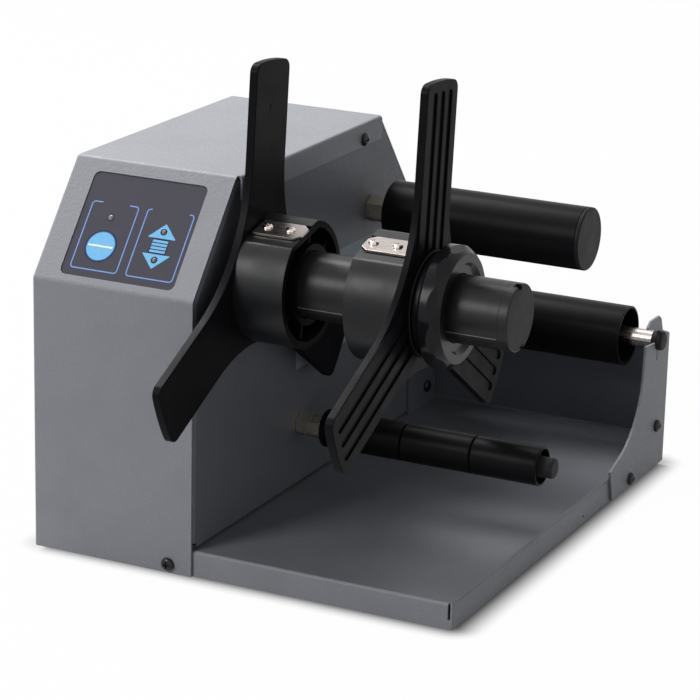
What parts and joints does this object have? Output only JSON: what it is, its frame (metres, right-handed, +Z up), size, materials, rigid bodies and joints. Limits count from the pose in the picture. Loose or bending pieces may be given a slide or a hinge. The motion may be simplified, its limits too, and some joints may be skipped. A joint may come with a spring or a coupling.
{
  "type": "label rewinder",
  "caption": "Powered bench label rewinder: grey sheet steel housing and tray, three-armed black roll flanges on a driven spindle, black guide rollers and a small key panel.",
  "frame": {"origin": "middle of the overall box at rest, at the level of the feet's undersides", "axes": "+X right, along the spindle from the housing to its free end; +Y to the back, away from the key panel; +Z up"},
  "size_m": [0.285, 0.408, 0.302],
  "materials": {
    "painted_steel": "grey textured powder coat",
    "black_plastic": "black moulded plastic",
    "roller_plastic": "smooth dark grey plastic",
    "spindle_metal": "smooth dark grey",
    "bright_steel": "bright steel",
    "black_screw": "black oxide",
    "rubber": "matt black rubber",
    "panel_film": "satin membrane",
    "panel_blue": "satin membrane",
    "lens": "unlit lens",
    "circuit_board": "green laminate",
    "cast_metal": "as cast"
  },
  "bodies": {
    "frame": {"cover": "painted_steel", "side_plate": "painted_steel", "base_tray": "painted_steel", "right_bracket": "painted_steel", "foot_1": "rubber", "foot_2": "rubber", "foot_3": "rubber", "foot_4": "rubber", "control_panel": "panel_film", "status_led": "lens", "up_led": "lens", "down_led": "lens", "circuit_board": "circuit_board", "power_inlet": "black_plastic", "power_switch": "black_plastic", "gear_motor": "cast_metal", "motor_bracket": "painted_steel", "drive_belt": "rubber", "bearing_housing": "cast_metal", "bearing_left": "bright_steel", "bearing_right": "bright_steel", "upper_roller_shaft": "bright_steel", "upper_roller_nut": "bright_steel", "rear_roller_shaft": "bright_steel", "rear_shaft_cap": "rubber", "lower_roller_shaft": "bright_steel", "lower_roller_nut": "bright_steel", "lower_end_cap": "rubber", "cover_screw": "black_screw", "strip_screw_1": "black_screw", "strip_screw_2": "black_screw", "tab_screw": "black_screw", "bracket_screw_1": "black_screw", "bracket_screw_2": "black_screw"},
    "reel": {"spindle_shaft": "bright_steel", "spindle_tube": "spindle_metal", "spindle_end_cap": "black_plastic", "spindle_pulley": "cast_metal", "inner_flange": "black_plastic", "inner_grip_plate": "bright_steel"},
    "drive": {"motor_pulley": "cast_metal"},
    "sliding_flange": {"outer_flange": "black_plastic", "outer_grip_plate": "bright_steel"},
    "knob": {"lock_knob": "black_plastic"},
    "upper_idler": {"upper_roller": "roller_plastic", "upper_roller_cap": "black_plastic"},
    "rear_idler": {"rear_roller": "roller_plastic", "rear_bush_left": "black_plastic", "rear_bush_right": "black_plastic"},
    "lower_idler_1": {"lower_roller_1": "roller_plastic"},
    "lower_idler_2": {"lower_roller_2": "roller_plastic"},
    "lower_idler_3": {"lower_roller_3": "roller_plastic"},
    "start_key": {"start_stop_button": "panel_blue"},
    "direction_key": {"direction_button": "panel_blue"},
    "rocker": {"power_rocker": "black_plastic"}
  },
  "joints": [
    {"name": "reel_spin", "type": "hinge", "parent": "frame", "child": "reel", "pos_m": [0, -0.08353, 0.175], "axis": [1, 0, 0], "continuous": true},
    {"name": "motor_pulley_spin", "type": "hinge", "parent": "frame", "child": "drive", "pos_m": [0, 0.01087, 0.104], "axis": [1, 0, 0], "continuous": true},
    {"name": "outer_flange_slide", "type": "slide", "parent": "reel", "child": "sliding_flange", "axis": [1, 0, 0], "range_m": [-0.036, 0.035]},
    {"name": "lock_knob_turn", "type": "hinge", "parent": "sliding_flange", "child": "knob", "pos_m": [0.0935, -0.08353, 0.175], "axis": [1, 0, 0], "range_deg": [0, 270]},
    {"name": "upper_roller_spin", "type": "hinge", "parent": "frame", "child": "upper_idler", "pos_m": [0, 0.08958, 0.1764], "axis": [1, 0, 0], "continuous": true},
    {"name": "rear_roller_spin", "type": "hinge", "parent": "frame", "child": "rear_idler", "pos_m": [0, 0.17388, 0.092], "axis": [1, 0, 0], "continuous": true},
    {"name": "lower_roller_1_spin", "type": "hinge", "parent": "frame", "child": "lower_idler_1", "pos_m": [0, -0.00388, 0.05998], "axis": [1, 0, 0], "continuous": true},
    {"name": "lower_roller_2_spin", "type": "hinge", "parent": "frame", "child": "lower_idler_2", "pos_m": [0, -0.00388, 0.05998], "axis": [1, 0, 0], "continuous": true},
    {"name": "lower_roller_3_spin", "type": "hinge", "parent": "frame", "child": "lower_idler_3", "pos_m": [0, -0.00388, 0.05998], "axis": [1, 0, 0], "continuous": true},
    {"name": "start_stop_press", "type": "slide", "parent": "frame", "child": "start_key", "axis": [0, 0.7772, -0.6292], "range_m": [0, 0.0006], "stiffness_N_per_m": 300, "springref_m": -0.0003},
    {"name": "direction_press", "type": "slide", "parent": "frame", "child": "direction_key", "axis": [0, 0.7772, -0.6292], "range_m": [0, 0.0006], "stiffness_N_per_m": 300, "springref_m": -0.0003},
    {"name": "power_rocker_tip", "type": "hinge", "parent": "frame", "child": "rocker", "pos_m": [-0.072, 0.20087, 0.049], "axis": [0, 0, 1], "range_deg": [0, 14]}
  ],
  "couplings": [
    {"joint": "motor_pulley_spin", "follows": "reel_spin", "ratio": 1.6667}
  ]
}
